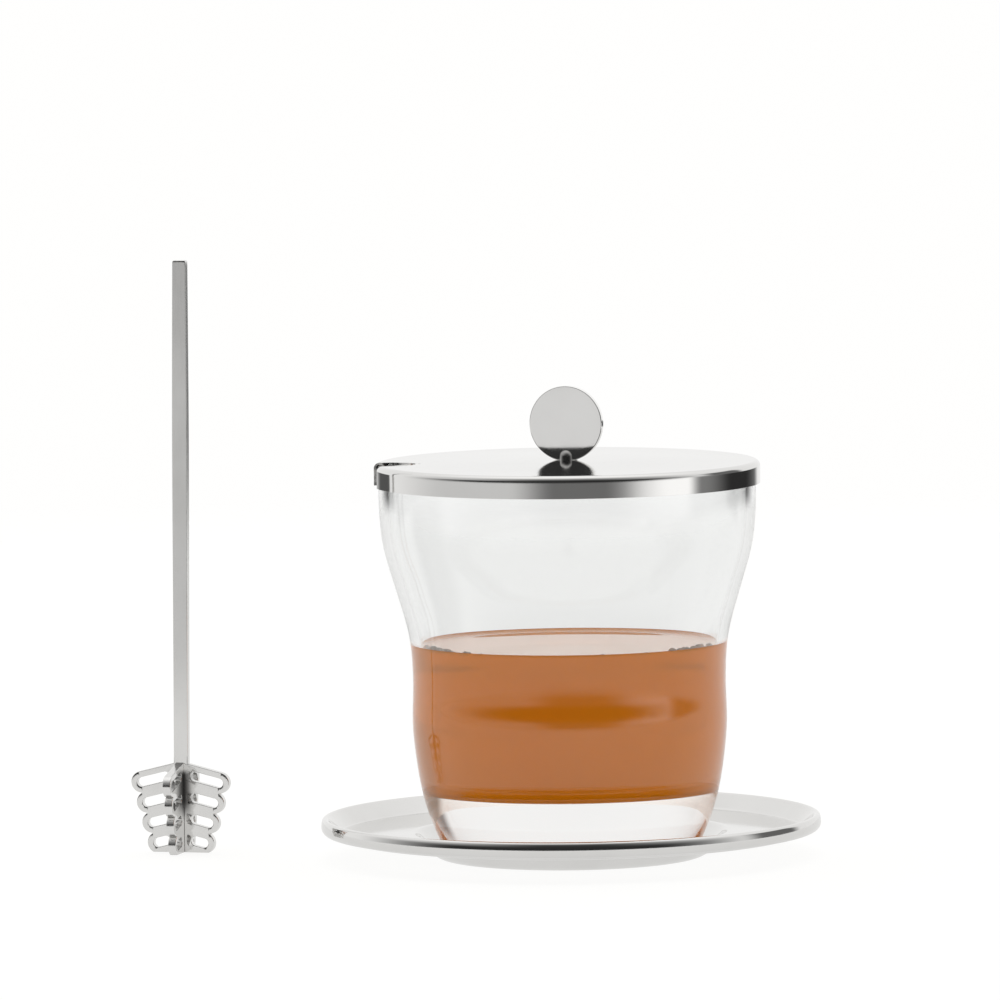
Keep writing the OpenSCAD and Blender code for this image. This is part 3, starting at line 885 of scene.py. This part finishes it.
def make_painted_corner_shade():
    """Mask of painted shade where the dipper's plates cross: 1 within the radius Near of an
    upright line through Line, 0 beyond Far, fading in from Low to High and out again above Top."""
    group, into, out = new_group("painted corner shade", [
        ("Vector", "Place", None), ("Vector", "Line", None), ("Float", "Near", 0.002),
        ("Float", "Far", 0.004), ("Float", "Low", 0.008), ("Float", "High", 0.014),
        ("Float", "Top", 0.0205)], [("Float", "Mask")])
    away = group.nodes.new("ShaderNodeVectorMath")
    away.operation = "SUBTRACT"
    group.links.new(into.outputs["Place"], away.inputs[0])
    group.links.new(into.outputs["Line"], away.inputs[1])
    split = group.nodes.new("ShaderNodeSeparateXYZ")
    group.links.new(away.outputs[0], split.inputs[0])
    x, y, z = split.outputs
    r = math_node(group, "SQRT", math_node(group, "MULTIPLY_ADD", x, x,
                                           math_node(group, "MULTIPLY", y, y)))
    near = ramp(group, r, into.outputs["Near"], into.outputs["Far"], 1.0, 0.0)
    top, fade = into.outputs["Top"], 0.002
    risen = ramp(group, z, into.outputs["Low"], into.outputs["High"])
    past = ramp(group, z, top, math_node(group, "ADD", top, fade))
    high = math_node(group, "SUBTRACT", risen, past)
    put(group, out.inputs["Mask"], math_node(group, "MULTIPLY", near, high))
    return group


round_the_axis, buffed, painted_corner_shade = make_round_the_axis(), make_buffed(), make_painted_corner_shade()
print("groups:", [g.name for g in bpy.data.node_groups])

# %% [markdown]
# ## Steel
#
# All the steel is one metal with different grain, but the disc's colour is painted lighter, as
# painted light, and the stud's painted darker, as painted shade. On the saucer, the lid and the
# nut the lines run round the axis, because such pieces spin while they are polished. On the disc
# and the dipper they run along the plate. The cut sides of the dipper are a little rougher than
# its faces, which an attribute on the mesh tells the shader. Where the dipper's plates cross, its
# colour is darkened as painted shade.

# %% Mix the steels
def new_material(name):
    """An empty Principled material and its tree."""
    material = bpy.data.materials.new(name)
    material.use_nodes = True
    tree = material.node_tree
    return material, tree, tree.nodes["Principled BSDF"]


def steel(name, metal, base, spread, depth, haze, fineness, along=None, worn_by=None):
    """A metal material: grain round the axis, or turned and stretched as `along` says."""
    material, tree, shader = new_material(name)
    place = own_place(tree)
    if along is None:
        grain = place_group(tree, round_the_axis, Place=place, Fineness=fineness)
    else:
        grain = tree.nodes.new("ShaderNodeMapping")
        grain.inputs["Rotation"].default_value[2] = along[0]
        grain.inputs["Scale"].default_value = [fineness * s for s in along[1]]
        tree.links.new(place, grain.inputs["Vector"])
    finish = place_group(tree, buffed, Pattern=grain.outputs[0], Place=place, Metal=(*metal, 1),
                         Base_roughness=base, Spread=spread, Line_depth=depth, Haze=haze)
    if worn_by:
        mark = tree.nodes.new("ShaderNodeAttribute")
        mark.attribute_name = worn_by
        tree.links.new(mark.outputs["Fac"], finish.inputs["Worn"])
    tree.links.new(finish.outputs["Shade"], shader.inputs["Base Color"])
    for label in ("Roughness", "Normal"):
        tree.links.new(finish.outputs[label], shader.inputs[label])
    shader.inputs["Metallic"].default_value = 1.0
    return material


def wear(material, *objects):
    """Puts one material on pieces."""
    for o in objects:
        o.data.materials.clear()
        o.data.materials.append(material)


silver = (0.76, 0.755, 0.745)
saucer_steel = steel("saucer steel", silver, base=0.07, spread=0.05, depth=0.10, haze=0.10,
                     fineness=5200)
lid_steel = steel("lid steel", silver, base=0.055, spread=0.05, depth=0.10, haze=0.08,
                  fineness=5200)
# The disc's metal colour is lighter than the rest of the steel: painted light
disc_steel_painted_light = steel("disc steel with painted light", (0.93, 0.925, 0.915), base=0.05, spread=0.04, depth=0.08,
                   haze=0.08, fineness=5200, along=(-knob_turn, (1, 1, 0.06)))
# The stud's metal colour is darker than the rest of the steel: painted shade
stud_steel_painted_shade = steel("stud steel with painted shade", (0.36, 0.355, 0.35), base=0.2, spread=0.08, depth=0.3,
                   haze=0.15, fineness=7000)
nut_steel = steel("nut steel", (0.66, 0.655, 0.645), base=0.22, spread=0.12, depth=0.5,
                  haze=0.25, fineness=7000)
dipper_steel = steel("dipper steel with painted corner shade", silver, base=0.075, spread=0.06, depth=0.12, haze=0.10,
                     fineness=4200, along=(-dipper_turn, (1, 1, 0.05)), worn_by="cut_side")

# Painted shade: the dipper's colour goes dark where its plates cross, where little light gets in
painted_shade_colour, most = (0.05, 0.048, 0.045, 1), 0.9
tree = dipper_steel.node_tree
corner = place_group(tree, painted_corner_shade, Place=own_place(tree),
                     Line=(dipper_left * mm, dipper_back * mm, 0))
colour = tree.nodes["Principled BSDF"].inputs["Base Color"]
put(tree, colour, mix_colours(tree, math_node(tree, "MULTIPLY", corner.outputs[0], most),
                              colour.links[0].from_socket, painted_shade_colour))
wear(saucer_steel, saucer)
wear(lid_steel, lid)
wear(disc_steel_painted_light, disc)
wear(stud_steel_painted_shade, stud)
wear(nut_steel, washer, nut)
wear(dipper_steel, blade, cross)

# %% [markdown]
# ## Glass and honey
#
# Blown glass is clear, but its skin is never quite even, and slow waves in it bend the
# reflections a little. The honey is thick and slightly cloudy: light passes through it and
# loses its blue first, and some is scattered back as pale orange. A true scattering volume
# would show that but takes long to render, so the honey is partly a clear liquid that absorbs
# light, and partly a soft orange body whose colour drifts in slow clouds and which glows
# faintly, in place of the light that wanders about inside and comes out on every side.

# %% Mix the glass and the honey
def make_slow_waves():
    """Two sizes of noise as one height, for a normal that barely wavers."""
    group, into, out = new_group(
        "slow waves", [("Vector", "Place", None), ("Float", "Depth", 0.1)],
        [("Vector", "Normal"), ("Float", "Cloud")])
    broad, fine = (noise(group, into.outputs["Place"], scale, 1.0) for scale in (28.0, 90.0))
    bump = group.nodes.new("ShaderNodeBump")
    bump.inputs["Distance"].default_value = 0.001
    put(group, bump.inputs["Strength"], into.outputs["Depth"])
    put(group, bump.inputs["Height"], math_node(group, "MULTIPLY_ADD", fine, 0.25, broad))
    group.links.new(bump.outputs[0], out.inputs["Normal"])
    put(group, out.inputs["Cloud"], broad)
    return group


slow_waves = make_slow_waves()


def liquid_or_glass(name, ior, rough, depth, clear_share=1.0):
    """A transmissive material with the slow waves in its normal."""
    material, tree, shader = new_material(name)
    waves = place_group(tree, slow_waves, Depth=depth, Place=own_place(tree))
    tree.links.new(waves.outputs["Normal"], shader.inputs["Normal"])
    shader.inputs["IOR"].default_value = ior
    shader.inputs["Transmission Weight"].default_value = clear_share
    shader.inputs["Roughness"].default_value = rough
    return material, shader, waves


clear_glass, shader, _ = liquid_or_glass("clear glass", ior=1.5, rough=0.0, depth=0.012)
shader.inputs["Base Color"].default_value = (0.995, 1.0, 0.998, 1)
wear(clear_glass, jar)

honey_amber, shader, waves = liquid_or_glass("honey amber", ior=1.49, rough=0.03, depth=0.02,
                                             clear_share=0.4)
deep_orange, light_orange = (0.96, 0.31, 0.012, 1), (1.0, 0.36, 0.02, 1)
tree = honey_amber.node_tree
put(tree, shader.inputs["Base Color"],
    mix_colours(tree, waves.outputs["Cloud"], deep_orange, light_orange))
shader.inputs["Emission Color"].default_value = (1.0, 0.47, 0.0, 1)
shader.inputs["Emission Strength"].default_value = 0.075
absorb = tree.nodes.new("ShaderNodeVolumeAbsorption")
absorb.inputs["Color"].default_value = (0.93, 0.55, 0.08, 1)
absorb.inputs["Density"].default_value = 18.0
tree.links.new(absorb.outputs[0], tree.nodes["Material Output"].inputs["Volume"])
wear(honey_amber, honey)

foam_skin, shader, _ = liquid_or_glass("honey foam", ior=1.2, rough=0.02, depth=0.05,
                                       clear_share=0.35)
shader.inputs["Base Color"].default_value = (1.0, 0.96, 0.9, 1)
wear(foam_skin, foam)

# %% [markdown]
# ## Floor and room
#
# The floor is a pale round table top, and past its edge it melts into the room. The room is
# what the metal really shows. It could be built from cards and softboxes, but cards would
# stand in the way of other views. So the world itself is painted by direction: a bright wall
# behind the pot, a grey room in front of it, and a few dark and bright panels, each given by
# its angles round the pot and above the horizon, and each painted over the last. The camera
# itself sees plain white.

# %% Lay the floor
floor_z, floor_sides = -0.00005, 96
angle = np.linspace(0, 2 * np.pi, floor_sides, endpoint=False)[None, :]
radius = np.array([0.001, 0.05, 0.12, 0.3, 0.6, 1.3])[:, None]
top = np.stack([radius * np.cos(angle), radius * np.sin(angle), floor_z + 0 * angle * radius], -1)
middle, k = top[..., 0].size, np.arange(floor_sides)
fan = np.stack([middle + 0 * k, k, (k + 1) % floor_sides], -1)
floor_mesh = bpy.data.meshes.new("floor")
floor_mesh.from_pydata(
    np.vstack([top.reshape(-1, 3), [[0, 0, floor_z]]]).tolist(), [],
    grid_quads(len(radius), floor_sides, close_columns=True).tolist() + fan.tolist())
floor = bpy.data.objects.new("floor", floor_mesh)
bpy.context.scene.collection.objects.link(floor)

pale, tree, shader = new_material("pale floor")
shader.inputs["Base Color"].default_value = (0.16, 0.16, 0.158, 1)
shader.inputs["Roughness"].default_value = 0.9
shader.inputs["Specular IOR Level"].default_value = 0.0
shader.inputs["Emission Strength"].default_value = 1.0
glow_in_mirrors, more_to_camera, fade_from, fade_to = 0.74, 0.16, 0.62, 0.9
seen = tree.nodes.new("ShaderNodeLightPath").outputs["Is Camera Ray"]
glow = math_node(tree, "MULTIPLY_ADD", seen, more_to_camera, glow_in_mirrors)
shade = tree.nodes.new("ShaderNodeCombineColor")
for k, tone in enumerate((1, 0.998, 0.99)):
    put(tree, shade.inputs[k], math_node(tree, "MULTIPLY", glow, tone))
tree.links.new(shade.outputs[0], shader.inputs["Emission Color"])
reach = tree.nodes.new("ShaderNodeVectorMath")
reach.operation = "DISTANCE"
tree.links.new(own_place(tree), reach.inputs[0])
reach.inputs[1].default_value = (0, 0.3, 0)
put(tree, shader.inputs["Alpha"],
    ramp(tree, reach.outputs["Value"], fade_from, fade_to, 1.0, 0.0))
floor_mesh.materials.append(pale)

# %% Paint the room
# Each row: azimuths where it fades in and fades out, the same for elevations, and a brightness
panels = [
    (-124, -76, 56, 104, -92, -91, 91, 92, 0.70),    # the grey room in front of the pot
    (-182, -181, 181, 182, 30, 90, 91, 92, 1.22),    # a large softbox overhead
    (-37, -7, 21, 51, -92, -91, -3, 0, 0.18),        # the unlit end of the table
    (32, 64, 76, 88, -92, -91, -3, 0, 1.24),         # the table by the window
    (-90, -10, 10, 90, -3.2, -1.6, 14, 102, 0.05),   # the unlit room behind the camera
    (-118, -52, 34, 96, -3.2, -1.6, 9, 24, 0.03),    # its darkest part, near the ground
    (76, 88, 148, 160, -22, -18, -3, -0.5, 0.24),    # a grey flag to the right
    (88, 116, 133, 161, -22, -18, -3, -0.5, 0.03),   # its black middle
    (84, 100, 122, 132, -3, -0.5, 20, 30, 0.15),     # its part that stands above the table
    (-164, -148, -133.7, -131.3, -22, -18, -3, -0.5, 0.10),  # a narrow black one to the left
]
bright_wall, seen_by_camera, degrees = 0.95, 1.0, 57.2958
world = bpy.data.worlds.new("studio")
world.use_nodes = True
tree = world.node_tree
tree.nodes.clear()
split = tree.nodes.new("ShaderNodeSeparateXYZ")
tree.links.new(tree.nodes.new("ShaderNodeTexCoord").outputs["Generated"], split.inputs[0])
x, y, z = split.outputs
forward = math_node(tree, "MULTIPLY", y, -1.0)
azimuth = math_node(tree, "MULTIPLY", math_node(tree, "ARCTAN2", x, forward), degrees)
elevation = math_node(tree, "MULTIPLY", math_node(tree, "ARCSINE", z), degrees)


def window(value, rise_from, rise_to, fall_from, fall_to):
    """Mask that fades in between the first two values and out between the last two."""
    return math_node(tree, "SUBTRACT", ramp(tree, value, rise_from, rise_to),
                     ramp(tree, value, fall_from, fall_to))


def paint_over(light, level, cover):
    """The light moves to a level by the share that is covered."""
    gap = math_node(tree, "SUBTRACT", level, light)
    return math_node(tree, "MULTIPLY_ADD", gap, cover, light)


light = bright_wall
for *edges, level in panels:
    cover = math_node(tree, "MULTIPLY", window(azimuth, *edges[:4]), window(elevation, *edges[4:]))
    light = paint_over(light, level, cover)
seen = tree.nodes.new("ShaderNodeLightPath").outputs["Is Camera Ray"]
background = tree.nodes.new("ShaderNodeBackground")
put(tree, background.inputs["Strength"], paint_over(light, seen_by_camera, seen))
background.inputs["Color"].default_value = (1, 0.997, 0.99, 1)
output = tree.nodes.new("ShaderNodeOutputWorld")
tree.links.new(background.outputs[0], output.inputs[0])
bpy.context.scene.world = world
bpy.context.scene.view_settings.view_transform = "Standard"
